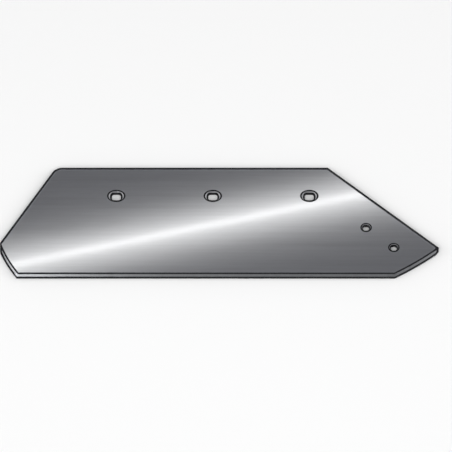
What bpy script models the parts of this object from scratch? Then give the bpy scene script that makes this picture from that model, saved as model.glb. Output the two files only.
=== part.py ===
"""Plough share: one flat steel blade with a ground cutting edge and five countersunk holes.

Metres, +Z up. The share lies on its back with the soil face up. The origin is the middle of
its bounding box, on the back face. +X runs to the point of the share, and +Y to the edge
that butts against the mouldboard.

The outline is laid out in the share's own plan: x from the heel corner, and y from the line
where the flat face ends and the ground cutting edge begins.
"""

from math import acos, atan2, cos, pi, sin, tan

import bmesh
import bpy
from mathutils import Matrix, Vector

# Outline
OVERALL_LENGTH = 0.635
TOP_EDGE_LENGTH = 0.395
FACE_WIDTH = 0.160
THICKNESS = 0.012
HEEL_SLANT = 0.080  # how far along the top edge begins from the heel corner
TOP_CORNER_RADIUS = 0.018
HEEL_CORNER_HEIGHT = 0.046
HEEL_CURVE_RUN = 0.0265
HEEL_CURVE_RADIUS = 0.165
TIP_HEIGHT = 0.039
POINT_CURVE_RUN = 0.0645
POINT_CURVE_RADIUS = 0.440

# Cutting edge
BEVEL_RUN = 0.0046  # how far the ground bevel reaches past the flat face
BEVEL_DROP = 0.0046  # how far down the plate's thickness it goes
ARRIS = 0.0008  # chamfer that breaks the square rims

# Row of seats for the bolts that hold the blade to the plough body
ROW_SEAT_COUNT = 3
ROW_SEAT_PITCH = 0.140
ROW_FROM_TOP = 0.043
ROW_MIDDLE = 0.308  # from the heel corner to the middle of the row
ROW_MOUTH_LENGTH = 0.025
ROW_MOUTH_WIDTH = 0.0168
ROW_NECK_LENGTH = 0.0132
ROW_NECK_WIDTH = 0.0102
ROW_NECK_CORNER_RADIUS = 0.003

# Smaller seats for the bolts that hold the nose
NOSE_SEAT_COUNT = 2
NOSE_SEAT_PITCH = 0.050
NOSE_SEAT_FROM_TIP = 0.065
NOSE_MOUTH_LENGTH = 0.0148
NOSE_MOUTH_WIDTH = 0.0120
NOSE_NECK_LENGTH = 0.0092
NOSE_NECK_WIDTH = 0.0082
NOSE_NECK_CORNER_RADIUS = 0.0034

COUNTERSINK_ANGLE = pi / 2  # between opposite sides of a seat, along its length

# How finely the round stretches are divided
CORNER_STEPS = 12
HEEL_STEPS = 12
POINT_STEPS = 14
SEAT_STEPS = 64
NECK_CORNER_STEPS = 8

CUTTER_OVERRUN = 0.001  # how far a cutter stands clear of a face that it passes through
NECK_OVERLAP = 0.97  # the countersink's foot as a share of the neck that it runs into
WELD = 0.00001
SQUARE_RIM = pi * 0.48  # rims at least this square are broken; the ground bevel stays sharp
SMOOTH_BELOW = pi / 12  # facets that meet at less than this are shaded as one curve

STEEL = (0.34, 0.345, 0.36, 1.0)
STEEL_ROUGHNESS = 0.32


def heel_corner():
    return Vector((0.0, HEEL_CORNER_HEIGHT))


def top_heel_corner():
    return Vector((HEEL_SLANT, FACE_WIDTH))


def top_land_corner():
    return Vector((HEEL_SLANT + TOP_EDGE_LENGTH, FACE_WIDTH))


def tip():
    return Vector((OVERALL_LENGTH, TIP_HEIGHT))


def in_frame(point):
    """A point of the plan, moved to where the middle of the bounding box is the origin."""
    middle_y = (FACE_WIDTH - BEVEL_RUN) / 2
    return Vector((point.x - OVERALL_LENGTH / 2, point.y - middle_y, 0.0))


def arc_points(start, end, radius, steps):
    """Points of the arc from start to end that bulges to the right of that direction."""
    chord = end - start
    left = Vector((-chord.y, chord.x)).normalized()
    rise = max(radius**2 - chord.length_squared / 4, 0.0) ** 0.5
    centre = (start + end) / 2 + left * rise
    first = atan2(start.y - centre.y, start.x - centre.x)
    last = atan2(end.y - centre.y, end.x - centre.x)
    if last < first:
        last += 2 * pi
    reach = (start - centre).length
    angles = [first + (last - first) * i / steps for i in range(steps + 1)]
    return [centre + reach * Vector((cos(angle), sin(angle))) for angle in angles]


def fillet_points(before, corner, after, radius, steps):
    """Points of the arc that rounds a corner, on the way from one neighbour to the other."""
    to_before = (before - corner).normalized()
    to_after = (after - corner).normalized()
    half = acos(to_before.dot(to_after)) / 2
    setback = min(radius / tan(half), (after - corner).length / 2)
    start = corner + to_before * setback
    end = corner + to_after * setback
    return arc_points(start, end, setback * tan(half), steps)


def cutting_line():
    """Where the flat face ends, from the heel corner along the bottom to the tip."""
    heel_end = Vector((HEEL_CURVE_RUN, 0.0))
    point_start = Vector((OVERALL_LENGTH - POINT_CURVE_RUN, 0.0))
    heel = arc_points(heel_corner(), heel_end, HEEL_CURVE_RADIUS, HEEL_STEPS)
    point = arc_points(point_start, tip(), POINT_CURVE_RADIUS, POINT_STEPS)
    return heel + point


def moved_out(points, distance):
    """An open line, moved square to itself, to the right of its direction."""
    normals = []
    for start, end in zip(points, points[1:]):
        along = (end - start).normalized()
        normals.append(Vector((along.y, -along.x)))
    moved = []
    for point, before, after in zip(points, normals[:1] + normals, normals + normals[-1:]):
        mitre = (before + after) / (1 + before.dot(after))
        moved.append(point + mitre * distance)
    return moved


def bevel_foot():
    """The lower edge of the ground bevel: the cutting line, moved out by the bevel's run.

    It keeps within the share's length, so the bevel narrows at the heel corner and the tip.
    """
    foot = moved_out(cutting_line(), BEVEL_RUN)
    return [Vector((min(max(point.x, 0.0), OVERALL_LENGTH), point.y)) for point in foot]


def butting_line():
    """The edges that meet other parts, from the tip over the top to the heel corner."""
    rounded = fillet_points(
        top_land_corner(), top_heel_corner(), heel_corner(), TOP_CORNER_RADIUS, CORNER_STEPS
    )
    return [tip(), top_land_corner()] + rounded + [heel_corner()]


def steel():
    material = bpy.data.materials.new("ground_steel")
    material.use_nodes = True
    shader = material.node_tree.nodes["Principled BSDF"]
    shader.inputs["Base Color"].default_value = STEEL
    shader.inputs["Metallic"].default_value = 1.0
    shader.inputs["Roughness"].default_value = STEEL_ROUGHNESS
    material.diffuse_color = STEEL
    return material


def new_collection(name):
    collection = bpy.data.collections.new(name)
    bpy.context.scene.collection.children.link(collection)
    return collection


def new_object(name, data, collection):
    made = bpy.data.objects.new(name, data)
    collection.objects.link(made)
    return made


def evaluated_mesh(source):
    bpy.context.view_layer.update()
    depsgraph = bpy.context.evaluated_depsgraph_get()
    return bpy.data.meshes.new_from_object(source.evaluated_get(depsgraph))


def flat_outline(name, points, height, collection):
    """A closed outline, filled and given a height above the ground plane."""
    curve = bpy.data.curves.new(name, "CURVE")
    curve.dimensions = "2D"
    curve.fill_mode = "BOTH"
    curve.extrude = height / 2
    spline = curve.splines.new("POLY")
    spline.points.add(len(points) - 1)
    for control, point in zip(spline.points, points):
        control.co = (point.x, point.y, 0.0, 1.0)
    spline.use_cyclic_u = True

    drawn = new_object(name + "_curve", curve, collection)
    drawn.location.z = height / 2
    made = new_object(name, evaluated_mesh(drawn), collection)
    made.matrix_world = drawn.matrix_world
    bpy.data.objects.remove(drawn, do_unlink=True)
    return made


def weld_and_flatten(bm):
    """Join loose caps to their walls, and make each flat side one face."""
    bmesh.ops.remove_doubles(bm, verts=bm.verts, dist=WELD)
    bmesh.ops.dissolve_limit(bm, angle_limit=0.001, verts=[], edges=bm.edges)


def raise_bevel(blank):
    """Grow the flat face out of the slab, with the rim drawn back over the cutting edge."""
    bm = bmesh.new()
    bm.from_mesh(blank.data)
    bm.transform(blank.matrix_world)
    weld_and_flatten(bm)

    slab_top = max(bm.faces, key=lambda face: face.calc_center_median().z)
    raised = bmesh.ops.extrude_face_region(bm, geom=[slab_top])["geom"]
    bmesh.ops.delete(bm, geom=[slab_top], context="FACES_ONLY")
    rim = [part for part in raised if isinstance(part, bmesh.types.BMVert)]
    bmesh.ops.translate(bm, verts=rim, vec=(0.0, 0.0, BEVEL_DROP))
    for foot, crease in zip(bevel_foot(), cutting_line()):
        place = in_frame(foot)
        vert = min(rim, key=lambda other: (other.co.xy - place.xy).length)
        vert.co.xy = in_frame(crease).xy
        rim.remove(vert)
    bmesh.ops.remove_doubles(bm, verts=bm.verts, dist=WELD)
    bmesh.ops.recalc_face_normals(bm, faces=bm.faces)

    bm.to_mesh(blank.data)
    bm.free()
    blank.matrix_world = Matrix.Identity(4)


def blade_blank(collection):
    """The blade before its holes are made."""
    outline = bevel_foot() + butting_line()
    places = [in_frame(point) for point in outline]
    blank = flat_outline("plough_share", places, THICKNESS - BEVEL_DROP, collection)
    raise_bevel(blank)
    arris = blank.modifiers.new("arris", "BEVEL")
    arris.width = ARRIS
    arris.segments = 1
    arris.use_clamp_overlap = False
    arris.limit_method = "ANGLE"
    arris.angle_limit = SQUARE_RIM
    return blank


def turned_cutter(name, profile, collection):
    """A solid turned about Z, from (radius, height) points that run from top to bottom."""
    mesh = bpy.data.meshes.new(name)
    points = [(radius, 0.0, height) for radius, height in profile]
    mesh.from_pydata(points, [(i, i + 1) for i in range(len(points) - 1)], [])
    cutter = new_object(name, mesh, collection)
    turn = cutter.modifiers.new("turn", "SCREW")
    turn.axis = "Z"
    turn.angle = 2 * pi
    turn.steps = SEAT_STEPS
    turn.render_steps = SEAT_STEPS
    turn.use_merge_vertices = True
    turn.merge_threshold = WELD
    return cutter


def countersink_cutter(name, mouth, neck, collection):
    """An oval cone, turned round and narrowed, that runs down to within the neck's outline."""
    mouth_length, mouth_width = mouth
    neck_length, neck_width = neck
    slope = tan(COUNTERSINK_ANGLE / 2)
    narrowing = mouth_width / mouth_length
    rim = mouth_length / 2
    foot = min(neck_length, neck_width / narrowing) / 2 * NECK_OVERLAP
    top = THICKNESS + CUTTER_OVERRUN
    bottom = THICKNESS - (rim - foot) / slope
    profile = [(0.0, top), (rim + CUTTER_OVERRUN * slope, top), (foot, bottom), (0.0, bottom)]
    cutter = turned_cutter(name, profile, collection)
    cutter.scale.y = narrowing
    return cutter


def neck_cutter(name, neck, corner_radius, collection):
    """The punch that makes the flat-sided neck, with its four upright corners rounded."""
    bpy.ops.mesh.primitive_cube_add(size=1.0)
    cutter = bpy.context.active_object
    cutter.name = name
    height = THICKNESS + 2 * CUTTER_OVERRUN
    stretch = Matrix.Diagonal((*neck, height, 1.0))
    lift = Matrix.Translation((0.0, 0.0, THICKNESS / 2))
    cutter.data.transform(lift @ stretch)
    weights = cutter.data.attributes.new("bevel_weight_edge", "FLOAT", "EDGE")
    for edge in cutter.data.edges:
        first, second = (cutter.data.vertices[i].co for i in edge.vertices)
        upright = (first.xy - second.xy).length < WELD
        weights.data[edge.index].value = 1.0 if upright else 0.0
    corners = cutter.modifiers.new("corners", "BEVEL")
    corners.limit_method = "WEIGHT"
    corners.width = corner_radius
    corners.segments = NECK_CORNER_STEPS
    for owner in list(cutter.users_collection):
        owner.objects.unlink(cutter)
    collection.objects.link(cutter)
    return cutter


def cut(blade, cutter, place):
    cutter.location = place
    cutter.hide_render = True
    cutter.display_type = "WIRE"
    boolean = blade.modifiers.new(cutter.name, "BOOLEAN")
    boolean.operation = "DIFFERENCE"
    boolean.solver = "EXACT"
    boolean.object = cutter


def row_places():
    """The row of seats below the top edge, spread about the middle of the row."""
    first = ROW_MIDDLE - ROW_SEAT_PITCH * (ROW_SEAT_COUNT - 1) / 2
    height = FACE_WIDTH - ROW_FROM_TOP
    return [in_frame(Vector((first + ROW_SEAT_PITCH * i, height))) for i in range(ROW_SEAT_COUNT)]


def nose_places():
    """Level with the tip, then back along a line that follows the landside edge."""
    first = tip() - Vector((NOSE_SEAT_FROM_TIP, 0.0))
    along = (top_land_corner() - tip()).normalized()
    return [in_frame(first + along * NOSE_SEAT_PITCH * i) for i in range(NOSE_SEAT_COUNT)]


def cut_seat(blade, name, place, mouth, neck, corner_radius, cutters):
    """A countersunk mouth and the neck below it, each with its length and width."""
    cut(blade, countersink_cutter(name + "_mouth", mouth, neck, cutters), place)
    cut(blade, neck_cutter(name + "_neck", neck, corner_radius, cutters), place)


def cut_row_seats(blade, cutters):
    mouth = (ROW_MOUTH_LENGTH, ROW_MOUTH_WIDTH)
    neck = (ROW_NECK_LENGTH, ROW_NECK_WIDTH)
    for number, place in enumerate(row_places(), start=1):
        cut_seat(blade, f"row_{number}", place, mouth, neck, ROW_NECK_CORNER_RADIUS, cutters)


def cut_nose_seats(blade, cutters):
    mouth = (NOSE_MOUTH_LENGTH, NOSE_MOUTH_WIDTH)
    neck = (NOSE_NECK_LENGTH, NOSE_NECK_WIDTH)
    for number, place in enumerate(nose_places(), start=1):
        cut_seat(blade, f"nose_{number}", place, mouth, neck, NOSE_NECK_CORNER_RADIUS, cutters)


def finish(blade):
    """Settle the cuts into the mesh, and shade the round stretches smooth."""
    cut_mesh = evaluated_mesh(blade)
    blade.modifiers.clear()
    blade.data = cut_mesh
    blade.data.materials.clear()
    blade.data.materials.append(steel())
    blade.data.shade_smooth()
    blade.data.set_sharp_from_angle(angle=SMOOTH_BELOW)


def build():
    for old in list(bpy.data.objects):
        bpy.data.objects.remove(old, do_unlink=True)
    share = new_collection("plough_share_parts")
    cutters = new_collection("cutters")

    blade = blade_blank(share)
    cut_row_seats(blade, cutters)
    cut_nose_seats(blade, cutters)
    finish(blade)


build()
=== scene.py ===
from math import acos, atan2, cos, hypot, pi, radians, sin, tan

import bmesh
import bpy
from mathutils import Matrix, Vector
from mathutils.geometry import delaunay_2d_cdt


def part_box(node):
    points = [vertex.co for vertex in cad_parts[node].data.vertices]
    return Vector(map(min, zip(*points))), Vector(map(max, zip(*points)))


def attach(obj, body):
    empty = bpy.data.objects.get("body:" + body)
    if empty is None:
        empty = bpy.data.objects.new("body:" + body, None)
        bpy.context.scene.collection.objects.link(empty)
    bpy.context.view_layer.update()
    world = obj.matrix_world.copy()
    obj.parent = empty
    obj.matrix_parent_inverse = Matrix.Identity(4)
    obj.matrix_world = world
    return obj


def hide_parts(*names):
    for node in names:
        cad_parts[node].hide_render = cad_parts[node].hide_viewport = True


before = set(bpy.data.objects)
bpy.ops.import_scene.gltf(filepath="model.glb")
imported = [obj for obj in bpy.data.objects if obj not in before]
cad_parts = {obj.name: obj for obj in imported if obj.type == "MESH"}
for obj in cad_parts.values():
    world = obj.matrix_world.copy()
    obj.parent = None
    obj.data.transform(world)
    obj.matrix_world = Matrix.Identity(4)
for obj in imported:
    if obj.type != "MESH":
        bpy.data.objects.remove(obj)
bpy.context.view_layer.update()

bladeLow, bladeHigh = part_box("plough_share")
print("frame loaded:", sorted(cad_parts))

# The blade, in metres. Plan points count x from the heel corner and y from the crease,
# the line where the flat face turns down into the ground cutting edge.
blade = {
    "topEdge": 0.395,
    "heelSlant": 0.080,
    "topCornerRadius": 0.018,
    "heelHeight": 0.046,
    "heelRun": 0.0265,
    "heelRadius": 0.165,
    "tipHeight": 0.039,
    "pointRun": 0.0645,
    "pointRadius": 0.440,
    "bevelRun": 0.0046,
    "bevelDrop": 0.0046,
    "bevelSteps": (0.08, 0.20, 0.35, 0.50, 0.65, 0.80, 0.92),  # rings up the ground bevel
    "rimRound": 0.0008,  # how far the worked-off rims reach in from the outline
    "backTurns": (0, 30, 60, 90),  # degrees round the rim at the back
    "straightStep": 0.012,  # shortest stretch of a straight edge between two points
    "arcSteps": 28,  # stretches that each curve is divided into
    # arc points nearer than this to the ends of the heel's curve, and to the tip, are left
    # out, so that the rings inside them don't cross
    "heelStretch": 0.0035,
    "tipStretch": 0.0075,
    "rimBands": (0.0013, 0.0018, 0.0024, 0.0032, 0.0045),  # rings of face inside the outline
    "cutRimWidth": 0.0034,  # dark scale left on the face along the cut edges
    "creaseShadeWidth": 0.0014,  # painted shade: a dark line along the crease
    "footWidths": (0.0009, 0.0027),  # dark foot of the bevel, where it runs along and across
    "runOuts": (0.030, 0.010),  # how far the bevel darkens from the heel corner and the tip
    "runOutPower": 0.4,
    "narrowPower": 4,  # how fast it darkens where it gets narrower
    "gridStep": 0.017,  # spacing of the points that divide the flat faces
    "gridClear": 0.45,  # how many of those steps they keep from the outlines
    "sharpAngle": 32,  # degrees between two faces from which their edge stays sharp
}
length = bladeHigh.x - bladeLow.x
faceWidth = bladeHigh.y - bladeLow.y - blade["bevelRun"]
thickness = bladeHigh.z
planOrigin = Vector((bladeLow.x, bladeLow.y + blade["bevelRun"]))

heelCorner = Vector((0.0, blade["heelHeight"]))
tipCorner = Vector((length, blade["tipHeight"]))
topHeelCorner = Vector((blade["heelSlant"], faceWidth))
topLandCorner = Vector((blade["heelSlant"] + blade["topEdge"], faceWidth))

samePoint = 1e-7  # points nearer than this are one
weldDistance = 1e-6  # joins the doubled corners of the outline
nearZero = 1e-9  # keeps a division off zero


def arcPoints(start, end, radius, steps):
    # the arc bulges to the right of the way from start to end
    chord = end - start
    left = Vector((-chord.y, chord.x)).normalized()
    centre = (start + end) / 2 + left * (radius**2 - chord.length_squared / 4) ** 0.5
    first = atan2(start.y - centre.y, start.x - centre.x)
    last = atan2(end.y - centre.y, end.x - centre.x)
    if last < first:
        last += 2 * pi
    angles = [first + (last - first) * i / steps for i in range(steps + 1)]
    return [centre + radius * Vector((cos(angle), sin(angle))) for angle in angles]


def filletPoints(before, corner, after, radius, steps):
    toBefore = (before - corner).normalized()
    toAfter = (after - corner).normalized()
    setback = radius / tan(acos(toBefore.dot(toAfter)) / 2)
    return arcPoints(corner + toBefore * setback, corner + toAfter * setback, radius, steps)


def straightPoints(start, end):
    # points between two ends, without the ends
    count = int((end - start).length / blade["straightStep"])
    return [start.lerp(end, i / count) for i in range(1, count)]


def cuttingLine():
    heelEnd = Vector((blade["heelRun"], 0.0))
    pointStart = Vector((length - blade["pointRun"], 0.0))
    heel = arcPoints(heelCorner, heelEnd, blade["heelRadius"], blade["arcSteps"])
    point = arcPoints(pointStart, tipCorner, blade["pointRadius"], blade["arcSteps"])
    heel = [spot for spot in heel if (spot - heelCorner).length > blade["heelStretch"]]
    heel = [spot for spot in heel if (spot - heelEnd).length > blade["heelStretch"]]
    point = [spot for spot in point if (spot - tipCorner).length > blade["tipStretch"]]
    bottom = [heelEnd] + straightPoints(heelEnd, pointStart)
    return [heelCorner] + heel + bottom + point + [tipCorner]


def buttingLine():
    corner = filletPoints(
        topLandCorner, topHeelCorner, heelCorner, blade["topCornerRadius"], blade["arcSteps"]
    )
    landside = straightPoints(tipCorner, topLandCorner)
    top = straightPoints(topLandCorner, corner[0])
    slant = straightPoints(corner[-1], heelCorner)
    return [tipCorner] + landside + [topLandCorner] + top + corner + slant + [heelCorner]


def bevelFootLine():
    # the cutting line, moved out by the bevel's run but kept within the share's length
    points = cuttingLine()
    normals = []
    for first, second in zip(points, points[1:]):
        along = (second - first).normalized()
        normals.append(Vector((along.y, -along.x)))
    foot = []
    for point, before, after in zip(points, normals[:1] + normals, normals + normals[-1:]):
        moved = point + (before + after) / (1 + before.dot(after)) * blade["bevelRun"]
        foot.append(Vector((min(max(moved.x, 0.0), length), moved.y)))
    return foot


def movedIn(points, distance):
    # a convex outline, counter-clockwise, with every edge moved inwards; a doubled point
    # takes the corner that both share
    moved = []
    count = len(points)
    for i, point in enumerate(points):
        before = i - 1
        while (points[before] - point).length < samePoint:
            before -= 1
        after = (i + 1) % count
        while (points[after] - point).length < samePoint:
            after = (after + 1) % count
        edgeIn = (point - points[before]).normalized()
        edgeOut = (points[after] - point).normalized()
        normalIn = Vector((-edgeIn.y, edgeIn.x))
        normalOut = Vector((-edgeOut.y, edgeOut.x))
        mitre = (normalIn + normalOut) / (1 + normalIn.dot(normalOut))
        moved.append(point + mitre * distance)
    return moved


# Everything goes into one mesh, ring by ring
materialNames = [
    "groundFace",
    "groundBevel",
    "cutEdge",
    "shearedEdge",
    "seatCone",
    "neckWall",
    "rolledBack",
]
zone = {name: number for number, name in enumerate(materialNames)}
bm = bmesh.new()
rimLayer = bm.verts.layers.float.new("rimRatio")  # distance from a rim, in widths of its dark line
farFromRim = 6.0  # a ratio that no dark line reaches


def addRing(points, heights, rimRatios=farFromRim):
    # heights and ratios are one for the whole ring, or a list with one for each point
    ring = []
    for i, point in enumerate(points):
        height = heights[i] if isinstance(heights, list) else heights
        place = point + planOrigin
        vert = bm.verts.new((place.x, place.y, height))
        vert[rimLayer] = rimRatios[i] if isinstance(rimRatios, list) else rimRatios
        ring.append(vert)
    return ring


def joinRings(outer, inner, material):
    # material is one name for the whole ring, or a list with one for each face
    count = len(outer)
    for i in range(count):
        j = (i + 1) % count
        face = bm.faces.new((outer[i], outer[j], inner[j], inner[i]))
        face.material_index = zone[material] if isinstance(material, str) else zone[material[i]]


def runAlong(points):
    # how far the line runs along the share at each point, from 0 across it to 1 along it
    runs = []
    for i in range(len(points)):
        before = points[max(i - 1, 0)]
        after = points[min(i + 1, len(points) - 1)]
        runs.append(abs((after - before).normalized().x))
    return runs


def softened(before, corner, after):
    # a corner that is moved a quarter of the way to each neighbour
    return (before + 2 * corner + after) / 4


def bevelPath(foot, crease, flat):
    # over the softened foot, up the slope and over the softened crease
    slope = [foot.lerp(crease, step) for step in blade["bevelSteps"]]
    below = foot - Vector((0.0, 0.0, (crease.z - foot.z) * blade["bevelSteps"][0]))
    roundedFoot = softened(below, foot, slope[0])
    roundedCrease = softened(slope[-1], crease, flat)
    return [below, roundedFoot] + slope + [roundedCrease, flat]


def bevelRatios(path, foot, crease, along):
    # the dark line of the foot and the painted shade of the crease meet where the bevel narrows and
    # where it runs out
    straightFoot, crossFoot = blade["footWidths"]
    footWidth = crossFoot + (straightFoot - crossFoot) * along
    narrowing = min(1.0, (foot.xy - crease.xy).length / blade["bevelRun"]) ** blade["narrowPower"]
    for corner, runOut in zip((heelCorner, tipCorner), blade["runOuts"]):
        narrowing *= min(1.0, (foot.xy - corner).length / runOut) ** blade["runOutPower"]
    ratios = []
    for point in path:
        fromFoot = (point.xy - foot.xy).length / footWidth
        fromCrease = (point - crease).length / blade["creaseShadeWidth"]
        ratios.append(min(fromFoot, fromCrease) * narrowing)
    return ratios


def addBackRings(wall):
    # round the rim at the back, from flat to upright
    rim = blade["rimRound"]
    rings = []
    for turn in blade["backTurns"]:
        inset = rim * (1 - sin(radians(turn)))
        height = rim * (1 - cos(radians(turn)))
        rings.append(addRing(movedIn(wall, inset), height))
    return rings


def addBevelRings(wall, face, cuts):
    # the bevel's rings and, at the same steps, the rounding of the other edges
    rim = blade["rimRound"]
    bevelFoot = thickness - blade["bevelDrop"]
    faceIn = movedIn(face, rim)
    paths, pathRatios = [], []
    for i, along in enumerate(runAlong(wall[:cuts])):
        foot = Vector((*wall[i], bevelFoot))
        crease = Vector((*face[i], thickness))
        path = bevelPath(foot, crease, Vector((*faceIn[i], thickness)))
        ratios = bevelRatios(path, foot, crease, along)
        if i in (0, cuts - 1):
            ratios = [0.0] * len(path)  # the bevel's own ends are cut edges too
        paths.append(path)
        pathRatios.append(ratios)
    rings = []
    steps = len(paths[0])
    for step in range(steps):
        turn = radians(90 * step / (steps - 1))
        rounding = movedIn(wall, rim * (1 - cos(turn)))[cuts:]
        points = [path[step].xy for path in paths] + rounding
        heights = [path[step].z for path in paths]
        heights += [thickness - rim * (1 - sin(turn))] * len(rounding)
        ratios = [ratio[step] for ratio in pathRatios] + [0.0] * len(rounding)
        rings.append(addRing(points, heights, ratios))
    return rings


def addFaceRings(face, cuts, flatRing):
    # flat rings inside the rim, close together where its dark line fades
    # along the crease the dark line is painted shade, along the cut edges it is scale
    widths = [blade["creaseShadeWidth"]] * cuts + [blade["cutRimWidth"]] * (len(face) - cuts)
    widths[0] = widths[cuts - 1] = blade["cutRimWidth"]
    for width, vert in zip(widths, flatRing):
        vert[rimLayer] = blade["rimRound"] / width
    for band in blade["rimBands"]:
        ratios = [band / width for width in widths]
        inner = addRing(movedIn(face, band), thickness, ratios)
        joinRings(flatRing, inner, "groundFace")
        flatRing = inner
    return flatRing


def buildBladeEdge():
    cutting = cuttingLine()
    butting = buttingLine()
    face = cutting + butting  # where the flat face would end if its rims were sharp
    wall = bevelFootLine() + butting
    cuts, butts = len(cutting), len(butting)
    rings = addBackRings(wall)
    wallTop = len(rings)  # number of the ring just below the bevel's foot
    rings += addBevelRings(wall, face, cuts)
    bevelKinds = ["groundBevel"] * (cuts - 1) + ["cutEdge"] * (butts + 1)
    wallKinds = ["cutEdge"] * (cuts - 1) + ["shearedEdge"] * (butts + 1)
    for number, (lower, upper) in enumerate(zip(rings, rings[1:])):
        joinRings(lower, upper, bevelKinds if number > wallTop else wallKinds)
    faceRim = addFaceRings(face, cuts, rings[-1])
    print("blade edge:", len(rings), "rings of", len(face), "points")
    return rings[0], faceRim


# Seats for the bolts of the plough body: an oval cone that runs into a flat-sided neck
rowSeat = {
    "mouth": (0.025, 0.0168),
    "neck": (0.0132, 0.0102),
    "neckCorner": 0.003,
    "steps": 96,
    "rimWidth": 0.0007,  # dark line outside the mouth
    "mouthShare": 0.26,  # dark part of the cone below the mouth
    # and above the neck: at its ends, far side, and near side, where it is the whole cone
    # the dark above the neck is painted shade in the hole, over the whole cone on its near side
    "lipShadeShares": (0.44, 0.14, 1.30),
}
# Smaller seats in the nose
noseSeat = {
    "mouth": (0.0148, 0.0120),
    "neck": (0.0092, 0.0082),
    "neckCorner": 0.0034,
    "steps": 72,
    "rimWidth": 0.0008,
    "mouthShare": 0.44,
    # the dark above the neck is painted shade in the hole, over the whole cone on its near side
    "lipShadeShares": (0.46, 0.16, 1.30),
}
seats = {
    "slope": 1.0,  # half length that a cone loses for each depth
    "mouthSoft": 0.00025,  # worked-off rims
    "neckSoft": 0.0004,
    "rimBands": (0.0045, 0.0028, 0.0018, 0.0012, 0.0007),  # rings of face round the mouth
    "coneSteps": 8,
    "wallSteps": 3,
    "lipBlend": 0.25,  # part of the way from the neck to the cone where the lip is rounded
    "fineSteps": 3600,  # directions that the points of a seat are chosen from
    "rowCount": 3,
    "rowPitch": 0.140,
    "rowMiddle": 0.308,
    "rowFromTop": 0.043,
    "noseCount": 2,
    "nosePitch": 0.050,
    "noseFromTip": 0.065,
}


def neckPoint(seat, angle):
    # where a ray from the seat's middle leaves the neck's rounded outline
    halfLength, halfWidth = (size / 2 for size in seat["neck"])
    corner = seat["neckCorner"]
    dx, dy = abs(cos(angle)), abs(sin(angle))
    reach = min(halfLength / max(dx, nearZero), halfWidth / max(dy, nearZero))
    middle = Vector((halfLength - corner, halfWidth - corner))
    if dx * reach > middle.x and dy * reach > middle.y:
        along = dx * middle.x + dy * middle.y
        across = middle.length_squared - corner**2
        reach = along + (along**2 - across) ** 0.5
    return Vector((cos(angle) * reach, sin(angle) * reach))


def mouthPoint(seat, angle, grow=0.0):
    # the oval at the same polar angle, moved out square to itself
    a, b = (size / 2 for size in seat["mouth"])
    reach = 1 / hypot(cos(angle) / a, sin(angle) / b)
    point = Vector((cos(angle) * reach, sin(angle) * reach))
    outward = Vector((point.x / a**2, point.y / b**2)).normalized()
    return point + outward * grow


def coneHeight(seat, point):
    a, b = (size / 2 for size in seat["mouth"])
    return thickness - a * (1 - hypot(point.x / a, point.y / b)) / seats["slope"]


def seatAngles(seat):
    # evenly spaced round the neck's outline, so that its corners are well divided
    fine = seats["fineSteps"]
    points = [neckPoint(seat, 2 * pi * i / fine) for i in range(fine + 1)]
    runs = [0.0]
    for first, second in zip(points, points[1:]):
        runs.append(runs[-1] + (second - first).length)
    angles = []
    k = 0
    for i in range(seat["steps"]):
        wanted = runs[-1] * i / seat["steps"]
        while runs[k + 1] <= wanted:
            k += 1
        angles.append(2 * pi * k / fine)
    return angles


def lipSharesRound(seat, angles):
    # the painted shade above the neck, blended from its ends to its far and near sides
    atEnds, atFar, atNear = seat["lipShadeShares"]
    parts = []
    for angle in angles:
        atSide = atFar if sin(angle) > 0 else atNear
        parts.append(atEnds * cos(angle) ** 2 + atSide * sin(angle) ** 2)
    return parts


def lipPoints(seat, angles):
    # where the cone ends, just short of the neck
    points = []
    for angle in angles:
        neck = neckPoint(seat, angle)
        toMouth = (mouthPoint(seat, angle, -seats["mouthSoft"]) - neck).normalized()
        points.append(neck + toMouth * seats["neckSoft"])
    return points


# The rings of a seat, from the face to the back, each as its points, heights and ratios
def mouthRings(seat, angles):
    # on the flat face round the mouth
    rings = []
    for band in seats["rimBands"]:
        points = [mouthPoint(seat, angle, band) for angle in angles]
        rings.append((points, thickness, (band - seats["mouthSoft"]) / seat["rimWidth"]))
    return rings


def coneRings(seat, angles):
    # over the mouth's rim and down the cone
    edge = [mouthPoint(seat, angle) for angle in angles]
    outer = [mouthPoint(seat, angle, seats["mouthSoft"]) for angle in angles]
    inner = [mouthPoint(seat, angle, -seats["mouthSoft"]) for angle in angles]
    blended = [softened(*three) for three in zip(outer, edge, inner)]
    eased = [softened(thickness, thickness, coneHeight(seat, point)) for point in inner]
    rings = [(outer, thickness, 0.0), (blended, eased, 0.0)]
    lip = lipPoints(seat, angles)
    lipShades = lipSharesRound(seat, angles)
    for step in range(seats["coneSteps"] + 1):
        down = step / seats["coneSteps"]
        points = [top.lerp(end, down) for top, end in zip(inner, lip)]
        heights = [coneHeight(seat, point) for point in points]
        # dark below the mouth, and painted shade above the neck
        ratios = [min(down / seat["mouthShare"], (1 - down) / part) for part in lipShades]
        rings.append((points, heights, ratios))
    return rings


def neckRings(seat, angles):
    # over the lip, down the neck and out at the back
    neck = [neckPoint(seat, angle) for angle in angles]
    lip = lipPoints(seat, angles)
    below = [coneHeight(seat, point) - seats["neckSoft"] for point in neck]
    blended = [point.lerp(top, seats["lipBlend"]) for point, top in zip(neck, lip)]
    eased = [
        softened(coneHeight(seat, top), coneHeight(seat, point), low)
        for top, point, low in zip(lip, neck, below)
    ]
    rings = [(blended, eased, 0.0)]
    for step in range(seats["wallSteps"] + 1):
        down = step / seats["wallSteps"]
        heights = [low + (seats["mouthSoft"] - low) * down for low in below]
        rings.append((neck, heights, 0.0))
    flared = [point + point.normalized() * seats["mouthSoft"] for point in neck]
    rings.append((flared, 0.0, 0.0))
    return rings


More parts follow.
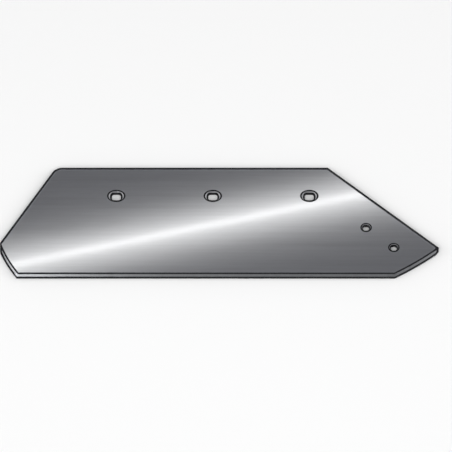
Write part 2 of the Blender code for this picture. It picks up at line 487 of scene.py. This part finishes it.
def buildSeat(seat, middle, angles):
    mouth = mouthRings(seat, angles)
    cone = coneRings(seat, angles)
    neck = neckRings(seat, angles)
    rings = []
    for points, heights, ratios in mouth + cone + neck:
        rings.append(addRing([middle + point for point in points], heights, ratios))
    kinds = ["groundFace"] * len(mouth) + ["seatCone"] * (len(cone) - 1) + ["neckWall"] * len(neck)
    for upper, lower, kind in zip(rings, rings[1:], kinds):
        joinRings(lower, upper, kind)
    return rings[0], rings[-1]


def inside(point, polygon):
    # an odd number of edges lies to the right of a point inside
    oddCount = False
    for first, second in zip(polygon, polygon[1:] + polygon[:1]):
        if (first.y > point.y) != (second.y > point.y):
            way = (point.y - first.y) / (second.y - first.y)
            if point.x < first.x + way * (second.x - first.x):
                oddCount = not oddCount
    return oddCount


def isOnSteel(point, border, gaps):
    return inside(point, border) and not any(inside(point, gap) for gap in gaps)


def gridSpots(rimSpots, border, gaps):
    # a staggered grid on the steel that keeps clear of all the rims
    step = blade["gridStep"]
    clear = step * blade["gridClear"]
    columns, rows = int(length / step), int(faceWidth / step)
    found = []
    for i in range(columns + 1):
        shift = (i % 2) / 2  # every other column lies half a step further up
        for j in range(rows + 2):
            spot = Vector((bladeLow.x + i * step, bladeLow.y + (j + shift) * step))
            nearest = min((spot - other).length for other in rimSpots)
            if nearest > clear and isOnSteel(spot, border, gaps):
                found.append(spot)
    return found


def fillFlat(outline, holes, material):
    # triangles between the outline and the holes, with a grid of points to keep them even
    verts, edges = [], []
    for loop in [outline] + holes:
        start, count = len(verts), len(loop)
        edges += [(start + i, start + (i + 1) % count) for i in range(count)]
        verts += loop
    spots = [vert.co.xy for vert in verts]
    border = [vert.co.xy for vert in outline]
    gaps = [[vert.co.xy for vert in hole] for hole in holes]
    height = outline[0].co.z
    for spot in gridSpots(spots, border, gaps):
        vert = bm.verts.new((spot.x, spot.y, height))
        vert[rimLayer] = farFromRim
        verts.append(vert)
        spots.append(spot)
    everyTriangle = 0  # the kind of output; what lies outside the steel is dropped below
    filled = delaunay_2d_cdt(spots, edges, [], everyTriangle, samePoint, True)
    places, _, triangles, origins, _, _ = filled
    sources = [verts[origin[0]] for origin in origins]
    for corners in triangles:
        middle = sum((places[i] for i in corners), Vector((0.0, 0.0))) / len(corners)
        loop = [sources[i] for i in corners]
        if isOnSteel(middle, border, gaps) and len(set(loop)) == len(loop):
            bm.faces.new(loop).material_index = zone[material]


def rowMiddles():
    first = seats["rowMiddle"] - seats["rowPitch"] * (seats["rowCount"] - 1) / 2
    row = faceWidth - seats["rowFromTop"]
    return [Vector((first + seats["rowPitch"] * i, row)) for i in range(seats["rowCount"])]


def noseMiddles():
    # level with the tip, then back along a line that follows the landside edge
    first = tipCorner - Vector((seats["noseFromTip"], 0.0))
    along = (topLandCorner - tipCorner).normalized()
    return [first + along * seats["nosePitch"] * i for i in range(seats["noseCount"])]


def buildShare():
    backRim, faceRim = buildBladeEdge()
    faceHoles, backHoles = [], []
    for seat, middles in ((rowSeat, rowMiddles()), (noseSeat, noseMiddles())):
        angles = seatAngles(seat)
        for middle in middles:
            faceHole, backHole = buildSeat(seat, middle, angles)
            faceHoles.append(faceHole)
            backHoles.append(backHole)
    fillFlat(faceRim, faceHoles, "groundFace")
    fillFlat(backRim, backHoles, "rolledBack")
    bmesh.ops.remove_doubles(bm, verts=bm.verts, dist=weldDistance)
    bmesh.ops.dissolve_degenerate(bm, dist=samePoint, edges=bm.edges)
    bmesh.ops.recalc_face_normals(bm, faces=bm.faces)
    loose = [edge for edge in bm.edges if len(edge.link_faces) != 2]
    print("share mesh:", len(bm.verts), "points,", len(bm.faces), "faces, open edges", len(loose))
    mesh = bpy.data.meshes.new("share")
    bm.to_mesh(mesh)
    bm.free()
    mesh.shade_smooth()
    mesh.set_sharp_from_angle(angle=radians(blade["sharpAngle"]))
    share = bpy.data.objects.new("share", mesh)
    bpy.context.scene.collection.objects.link(share)
    return share


# Node helpers
def addNode(tree, kind, **settings):
    node = tree.nodes.new(kind)
    for name, value in settings.items():
        setattr(node, name, value)
    return node


def setInputs(node, **values):
    for name, value in values.items():
        node.inputs[name].default_value = value
    return node


def newGroup(name, inputs, outputs):
    group = bpy.data.node_groups.new(name, "ShaderNodeTree")
    for title, kind, value in inputs:
        socket = group.interface.new_socket(title, in_out="INPUT", socket_type=kind)
        socket.default_value = value
    for title, kind in outputs:
        group.interface.new_socket(title, in_out="OUTPUT", socket_type=kind)
    return group, group.nodes.new("NodeGroupInput"), group.nodes.new("NodeGroupOutput")


def feed(tree, value, socket):
    # a plain value is set on the socket, and anything else is linked to it
    if isinstance(value, (int, float, tuple)):
        socket.default_value = value
    else:
        tree.links.new(value, socket)


def addMath(tree, operation, *values):
    node = addNode(tree, "ShaderNodeMath", operation=operation)
    for value, socket in zip(values, node.inputs):
        feed(tree, value, socket)
    return node.outputs[0]


def mixColour(tree, factor, first, second):
    node = addNode(tree, "ShaderNodeMix", data_type="RGBA")
    sockets = (node.inputs[0], node.inputs[6], node.inputs[7])  # the ones for colours
    for value, socket in zip((factor, first, second), sockets):
        feed(tree, value, socket)
    return node.outputs[2]


def mixValue(tree, factor, first, second):
    node = addNode(tree, "ShaderNodeMix", data_type="FLOAT")
    sockets = (node.inputs[0], node.inputs[2], node.inputs[3])  # the ones for numbers
    for value, socket in zip((factor, first, second), sockets):
        feed(tree, value, socket)
    return node.outputs[0]


def mapRange(tree, value, before, after=(0.0, 1.0), kind="SMOOTHSTEP"):
    node = addNode(tree, "ShaderNodeMapRange", interpolation_type=kind)
    names = ("Value", "From Min", "From Max", "To Min", "To Max")
    for name, given in zip(names, (value, *before, *after)):
        feed(tree, given, node.inputs[name])
    return node.outputs["Result"]


def addNoise(tree, place, size, detail, roughness):
    noise = setInputs(addNode(tree, "ShaderNodeTexNoise"), Detail=detail, Roughness=roughness)
    feed(tree, size, noise.inputs["Scale"])
    tree.links.new(place, noise.inputs["Vector"])
    return noise.outputs["Fac"]


def stretchedNoise(tree, place, stretch, detail, roughness):
    # noise with its own scale along each axis
    stretched = addNode(tree, "ShaderNodeVectorMath", operation="MULTIPLY")
    tree.links.new(place, stretched.inputs[0])
    feed(tree, stretch, stretched.inputs[1])
    return addNoise(tree, stretched.outputs[0], 1.0, detail, roughness)


def addBump(tree, depth, height):
    bump = setInputs(addNode(tree, "ShaderNodeBump"), Strength=1.0)
    feed(tree, depth, bump.inputs["Distance"])
    tree.links.new(height, bump.inputs["Height"])
    return bump.outputs["Normal"]


noiseMiddle = 0.5

# Fine parallel marks of a belt, a cutter or a shear: long one way, narrow the other
marks = {
    "fineNoise": (3.0, 0.60),  # detail and roughness
    "broadNoise": (4.0, 0.65),
    "fineShare": 0.4,
    "broadShare": 0.6,
    "limits": (0.32, 0.68),  # stronger marks than these
    "evened": (0.38, 0.62),  # go no further than these
    # values for a face that is ground along the share
    "stretch": (40.0, 2200.0, 2200.0),
    "streaks": (3.0, 240.0, 240.0),
    "depth": 0.0000022,
}


def marksGroup():
    group, given, result = newGroup(
        "parallelMarks",
        [
            ("Stretch", "NodeSocketVector", marks["stretch"]),
            ("Depth", "NodeSocketFloat", marks["depth"]),
            ("Streaks", "NodeSocketVector", marks["streaks"]),
        ],
        [("Streak", "NodeSocketFloat"), ("Normal", "NodeSocketVector")],
    )
    place = addNode(group, "ShaderNodeTexCoord").outputs["Object"]
    fine = stretchedNoise(group, place, given.outputs["Stretch"], *marks["fineNoise"])
    broad = stretchedNoise(group, place, given.outputs["Streaks"], *marks["broadNoise"])
    finePart = addMath(group, "MULTIPLY", fine, marks["fineShare"])
    broadPart = addMath(group, "MULTIPLY", broad, marks["broadShare"])
    streak = addMath(group, "ADD", finePart, broadPart)
    streak = mapRange(group, streak, marks["limits"], marks["evened"])
    group.links.new(streak, result.inputs["Streak"])
    group.links.new(addBump(group, given.outputs["Depth"], fine), result.inputs["Normal"])
    return group


# Darkening that stays beside a rim, with a slightly uneven border: dark scale along the cut edges,
# and painted shade along the crease and in the seats
rimScaleAndShade = {
    "softness": 0.20,  # how far the border fades to each side, in widths of the dark line
    "unevenness": 0.25,  # and how far it wanders between its two extremes
    "grain": 260.0,  # scale of the noise
    "noise": (3.0, 0.6),  # detail and roughness
}


def rimGroup():
    group, given, result = newGroup(
        "rimScaleAndShade",
        [
            ("Softness", "NodeSocketFloat", rimScaleAndShade["softness"]),
            ("Unevenness", "NodeSocketFloat", rimScaleAndShade["unevenness"]),
            ("Grain", "NodeSocketFloat", rimScaleAndShade["grain"]),
        ],
        [("Mask", "NodeSocketFloat")],
    )
    ratio = addNode(group, "ShaderNodeAttribute", attribute_name="rimRatio").outputs["Fac"]
    place = addNode(group, "ShaderNodeTexCoord").outputs["Object"]
    noise = addNoise(group, place, given.outputs["Grain"], *rimScaleAndShade["noise"])
    shift = addMath(group, "SUBTRACT", noise, noiseMiddle)
    shift = addMath(group, "MULTIPLY", shift, given.outputs["Unevenness"])
    moved = addMath(group, "ADD", ratio, shift)
    low = addMath(group, "SUBTRACT", 1.0, given.outputs["Softness"])
    high = addMath(group, "ADD", 1.0, given.outputs["Softness"])
    group.links.new(mapRange(group, moved, (low, high), (1.0, 0.0)), result.inputs["Mask"])
    return group


marksNodes = marksGroup()
rimNodes = rimGroup()


def newMaterial(name):
    material = bpy.data.materials.new(name)
    material.use_nodes = True
    tree = material.node_tree
    return material, tree, tree.nodes["Principled BSDF"]


def addGroup(tree, group, **values):
    return setInputs(addNode(tree, "ShaderNodeGroup", node_tree=group), **values)


def addMarks(tree, finish):
    return addGroup(
        tree, marksNodes, Stretch=finish["stretch"], Streaks=finish["streaks"], Depth=finish["depth"]
    ).outputs


# Ground steel, bare but for the dark scale beside its cut rims and the painted shade along the
# crease and in the seats
groundFinishes = {
    "groundFace": {
        "colour": (0.518, 0.529, 0.577),
        "roughness": 0.30,
        "metal": 1.0,
        "stretch": marks["stretch"],
        "streaks": marks["streaks"],
        "depth": marks["depth"],
    },
    "groundBevel": {
        # a darker colour than the face: painted shade that dims the bevel's tone
        "colour": (0.45, 0.46, 0.48),
        "roughness": 0.30,
        "metal": 1.0,
        "stretch": (2200.0, 120.0, 120.0),  # ground across the edge
        "streaks": (420.0, 9.0, 9.0),
        "depth": 0.000003,
    },
    "seatCone": {
        "colour": (0.80, 0.81, 0.84),
        "roughness": 0.42,
        "metal": 0.85,
        "stretch": (30.0, 30.0, 5200.0),  # turned, so the marks run round the cone
        "streaks": (8.0, 8.0, 900.0),
        "depth": 0.000003,
    },
}
streakChange = {"colour": 0.22, "roughness": 0.10}  # how strongly the marks show in each
# the dark of the scale beside the cut rims, also the colour of the painted shade along the crease
# and in the seats
scale = {
    "dark": (0.010, 0.010, 0.012, 1.0),
    "worn": (0.025, 0.025, 0.028, 1.0),
    "roughness": 0.55,
    "specular": 0.01,
}


def groundSteel(name):
    finish = groundFinishes[name]
    material, tree, shader = newMaterial(name)
    mark = addMarks(tree, finish)
    mask = addGroup(tree, rimNodes).outputs["Mask"]
    wave = addMath(tree, "SUBTRACT", mark["Streak"], noiseMiddle)
    brighter = streakChange["colour"] / noiseMiddle
    bright = addMath(tree, "MULTIPLY_ADD", wave, brighter, 1.0)
    tinted = addNode(tree, "ShaderNodeVectorMath", operation="SCALE")
    tinted.inputs[0].default_value = finish["colour"]
    tree.links.new(bright, tinted.inputs["Scale"])
    # scale beside the cut rims, and painted shade along the crease and in the seats
    scaleAndShade = mixColour(tree, mark["Streak"], scale["dark"], scale["worn"])
    tree.links.new(mixColour(tree, mask, tinted.outputs[0], scaleAndShade), shader.inputs["Base Color"])
    rougher = streakChange["roughness"] / noiseMiddle
    rough = addMath(tree, "MULTIPLY_ADD", wave, rougher, finish["roughness"])
    tree.links.new(mixValue(tree, mask, rough, scale["roughness"]), shader.inputs["Roughness"])
    bare = addMath(tree, "SUBTRACT", 1.0, mask)
    tree.links.new(addMath(tree, "MULTIPLY", bare, finish["metal"]), shader.inputs["Metallic"])
    tree.links.new(mark["Normal"], shader.inputs["Normal"])
    shader.inputs["Specular IOR Level"].default_value = scale["specular"]
    return material


# Edges and walls that no belt has touched, with upright marks
edgeFinishes = {
    "cutEdge": {  # dark scale of the hot cut
        "dark": (0.001, 0.001, 0.002, 1.0),
        "light": (0.058, 0.059, 0.064, 1.0),
        "roughness": scale["roughness"],
        "metal": 0.0,
        "specular": scale["specular"],
        "stretch": (1100.0, 1100.0, 90.0),
        "streaks": (300.0, 300.0, 18.0),
        "depth": 0.00006,
    },
    "shearedEdge": {  # grey metal of the edges that butt against other parts, cut cold
        "dark": (0.030, 0.031, 0.034, 1.0),
        "light": (0.150, 0.153, 0.160, 1.0),
        "roughness": 0.48,
        "metal": 0.75,
        "specular": 0.5,
        "stretch": (900.0, 900.0, 60.0),
        "streaks": (160.0, 160.0, 14.0),
        "depth": 0.00005,
    },
    "neckWall": {
        "dark": scale["dark"],
        "light": scale["worn"],
        "roughness": scale["roughness"],
        "metal": 0.0,
        "specular": scale["specular"],
        "stretch": (1100.0, 1100.0, 90.0),
        "streaks": (300.0, 300.0, 18.0),
        "depth": 0.00004,
    },
}


def markedEdge(name):
    finish = edgeFinishes[name]
    material, tree, shader = newMaterial(name)
    mark = addMarks(tree, finish)
    skin = mixColour(tree, mark["Streak"], finish["dark"], finish["light"])
    tree.links.new(skin, shader.inputs["Base Color"])
    tree.links.new(mark["Normal"], shader.inputs["Normal"])
    setInputs(shader, Roughness=finish["roughness"], Metallic=finish["metal"])
    shader.inputs["Specular IOR Level"].default_value = finish["specular"]
    return material


# The back as it left the rolls: blue-grey scale, worn through in patches
rolled = {
    "dark": (0.048, 0.051, 0.059, 1.0),
    "light": (0.120, 0.122, 0.127, 1.0),
    "patches": (5.0, 34.0, 34.0),  # worn patches a metre, drawn out along the way of rolling
    "patchNoise": (8.0, 0.68),  # detail and roughness
    "specks": 420.0,
    "speckNoise": (3.0, 0.5),
    "wear": (0.34, 0.72),
    "roughness": (0.62, 0.42),  # of the scale, and where it is worn
    "metal": 0.55,
    "depth": 0.00006,
}


def rolledSteel(name):
    material, tree, shader = newMaterial(name)
    place = addNode(tree, "ShaderNodeTexCoord").outputs["Object"]
    patches = stretchedNoise(tree, place, rolled["patches"], *rolled["patchNoise"])
    specks = addNoise(tree, place, rolled["specks"], *rolled["speckNoise"])
    worn = mapRange(tree, patches, rolled["wear"])
    skin = mixColour(tree, worn, rolled["dark"], rolled["light"])
    tree.links.new(skin, shader.inputs["Base Color"])
    rough = mapRange(tree, worn, (0.0, 1.0), rolled["roughness"], "LINEAR")
    tree.links.new(rough, shader.inputs["Roughness"])
    tree.links.new(addBump(tree, rolled["depth"], specks), shader.inputs["Normal"])
    setInputs(shader, Metallic=rolled["metal"])
    return material


def finishShare(share):
    for name in materialNames:
        if name in groundFinishes:
            material = groundSteel(name)
        elif name in edgeFinishes:
            material = markedEdge(name)
        else:
            material = rolledSteel(name)
        share.data.materials.append(material)
    print("materials:", [material.name for material in share.data.materials])


share = buildShare()
finishShare(share)
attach(share, "root")
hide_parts("plough_share")

# Camera, from the drawing's scale and the place of the share in it
view = {
    "imageSize": 452,
    "pixelsPerMetre": 690.5,
    "heelColumn": 0.1,  # pixel column of the heel corner
    "creaseRow": 273.25,  # pixel row of the crease
    "tilt": radians(16.7),  # of the view from straight down, towards the cutting edge
    "lens": 500.0,
    "sensor": 36.0,
    "clipEnd": 200.0,
}


def onFace(planPoint):
    return Vector((*(Vector(planPoint) + planOrigin), thickness))


def placeCamera():
    focalPixels = view["lens"] / view["sensor"] * view["imageSize"]
    distance = focalPixels / view["pixelsPerMetre"]
    middle = view["imageSize"] / 2
    aimX = (middle - view["heelColumn"]) / view["pixelsPerMetre"]
    aimY = (view["creaseRow"] - middle) / (view["pixelsPerMetre"] * cos(view["tilt"]))
    back = Vector((0.0, -sin(view["tilt"]), cos(view["tilt"])))
    data = bpy.data.cameras.new("camera")
    data.lens = view["lens"]
    data.sensor_width = view["sensor"]
    data.clip_end = view["clipEnd"]
    camera = bpy.data.objects.new("camera", data)
    bpy.context.scene.collection.objects.link(camera)
    camera.location = onFace((aimX, aimY)) + back * distance
    camera.rotation_euler = (view["tilt"], 0.0, 0.0)
    bpy.context.scene.camera = camera
    print("camera at", [round(value, 3) for value in camera.location])
    return camera


camera = placeCamera()

# Two long narrow softboxes, one above the other, lay the bright band across the face
band = {
    "start": (0.035, 0.0162),  # plan points that the middle of the band passes through
    "end": (0.507, 0.1162),
    "overhang": 0.45,
    # height, width, watts and shift towards the cutting edge
    "strips": ((0.166, 0.042, 0.330, 0.0018), (0.048, 0.004, 0.055, 0.0004)),
    "colour": (1.0, 0.985, 0.905),
}


def mirrorPoint(planPoint, height):
    # where the camera sees a lamp at that height above the face, when it looks at planPoint
    spot = onFace(planPoint)
    eye = Vector(camera.location)
    eye.z = 2 * thickness - eye.z
    way = (spot - eye).normalized()
    return spot + way * (height / way.z)


def addArea(name, place, aim, size, power, colour=(1.0, 1.0, 1.0)):
    data = bpy.data.lights.new(name, "AREA")
    data.shape = "RECTANGLE"
    data.size, data.size_y = size
    data.energy = power
    data.color = colour
    lamp = bpy.data.objects.new(name, data)
    bpy.context.scene.collection.objects.link(lamp)
    lamp.location = place
    down = (Vector(aim) - Vector(place)).to_track_quat("-Z", "Y")
    lamp.rotation_euler = down.to_matrix().to_euler()
    lamp.visible_camera = False
    return lamp


def addBandStrips():
    for number, (height, width, power, shift) in enumerate(band["strips"], start=1):
        shifted = [Vector(band[name]) - Vector((0.0, shift)) for name in ("start", "end")]
        start, end = (mirrorPoint(point, height) for point in shifted)
        along = end - start
        middle = (start + end) / 2
        size = (along.length + 2 * band["overhang"], width)
        under = middle - Vector((0.0, 0.0, 1.0))
        lamp = addArea(f"bandStrip{number}", middle, under, size, power, band["colour"])
        lamp.rotation_euler = (0.0, 0.0, atan2(along.y, along.x))
        lamp.visible_diffuse = False


# Soft keys that light the floor and stay out of the steel
keys = {
    "size": 1.8,
    "distance": 3.6,
    "height": radians(34),  # of the two lower keys, as an angle above the floor
    "sides": (178, 2),  # degrees round the share
    "power": 24.0,
    "topSize": 2.6,
    "topPlace": (0.0, -0.7, 3.0),
    "topPower": 60.0,
}


def addKeys():
    middle = (0.0, 0.0, 0.0)
    size = (keys["size"], keys["size"])
    for side in keys["sides"]:
        way = Vector((cos(radians(side)), sin(radians(side)), tan(keys["height"]))).normalized()
        key = addArea(f"key{side}", way * keys["distance"], middle, size, keys["power"])
        key.visible_glossy = False
    topSize = (keys["topSize"], keys["topSize"])
    top = addArea("topKey", keys["topPlace"], middle, topSize, keys["topPower"])
    top.visible_glossy = False


# Small lamps that the bevel mirrors: the plan point where it shows them brightest, the
# outward direction of the bevel there, distance, size and watts
bevelFills = (
    ((-0.020, 0.0), (0.0, -1.0), 1.05, (0.15, 0.10), 0.46),
    ((0.026, 0.001), (-0.80, -0.60), 1.05, (0.08, 0.08), 0.27),
)


def addBevelFills():
    for number, (planPoint, outward, distance, size, power) in enumerate(bevelFills, start=1):
        spot = onFace(planPoint)
        level = Vector((*outward, 0.0)) * blade["bevelDrop"]
        bevelNormal = (level + Vector((0.0, 0.0, blade["bevelRun"]))).normalized()
        toCamera = (camera.location - spot).normalized()
        mirrored = 2 * toCamera.dot(bevelNormal) * bevelNormal - toCamera
        fill = addArea(f"bevelFill{number}", spot + mirrored * distance, spot, size, power)
        fill.visible_diffuse = False


paleFloor = {"size": 60.0, "colour": (0.90, 0.90, 0.90, 1.0), "roughness": 0.9}


def layFloor():
    bpy.ops.mesh.primitive_plane_add(size=paleFloor["size"])
    floor = bpy.context.active_object
    floor.name = "floor"
    material, _, shader = newMaterial("paleFloor")
    shader.inputs["Base Color"].default_value = paleFloor["colour"]
    shader.inputs["Roughness"].default_value = paleFloor["roughness"]
    shader.inputs["Specular IOR Level"].default_value = 0.0
    floor.data.materials.append(material)


# The room that the steel mirrors: pale all round, with two dim openings, each given by its
# direction and the angles from it where it starts to fade and where the room is pale again
room = {
    "pale": (0.50, 0.50, 0.50, 1.0),
    "dim": (0.194, 0.194, 0.194, 1.0),
    "openings": (
        ((0.0, 0.296, 0.955), 28.0, 46.0),
        ((0.28, -0.91, 0.29), 19.0, 32.0),
    ),
    "backdrop": (0.95, 0.95, 0.95, 1.0),  # what the camera sees past the floor
}


def paintRoom():
    world = bpy.data.worlds.new("studio")
    bpy.context.scene.world = world
    world.use_nodes = True
    tree = world.node_tree
    way = addNode(tree, "ShaderNodeTexCoord").outputs["Generated"]
    dim = 0.0
    for direction, inner, outer in room["openings"]:
        facing = addNode(tree, "ShaderNodeVectorMath", operation="DOT_PRODUCT")
        tree.links.new(way, facing.inputs[0])
        facing.inputs[1].default_value = direction
        limits = (cos(radians(outer)), cos(radians(inner)))
        dim = addMath(tree, "MAXIMUM", mapRange(tree, facing.outputs["Value"], limits), dim)
    mirrored = mixColour(tree, dim, room["pale"], room["dim"])
    isSeen = addNode(tree, "ShaderNodeLightPath").outputs["Is Camera Ray"]
    colour = mixColour(tree, isSeen, mirrored, room["backdrop"])
    tree.links.new(colour, tree.nodes["Background"].inputs["Color"])


addBandStrips()
addKeys()
addBevelFills()
layFloor()
paintRoom()
bpy.context.scene.view_settings.view_transform = "Standard"
bpy.context.scene.view_settings.look = "None"
print("studio lit")
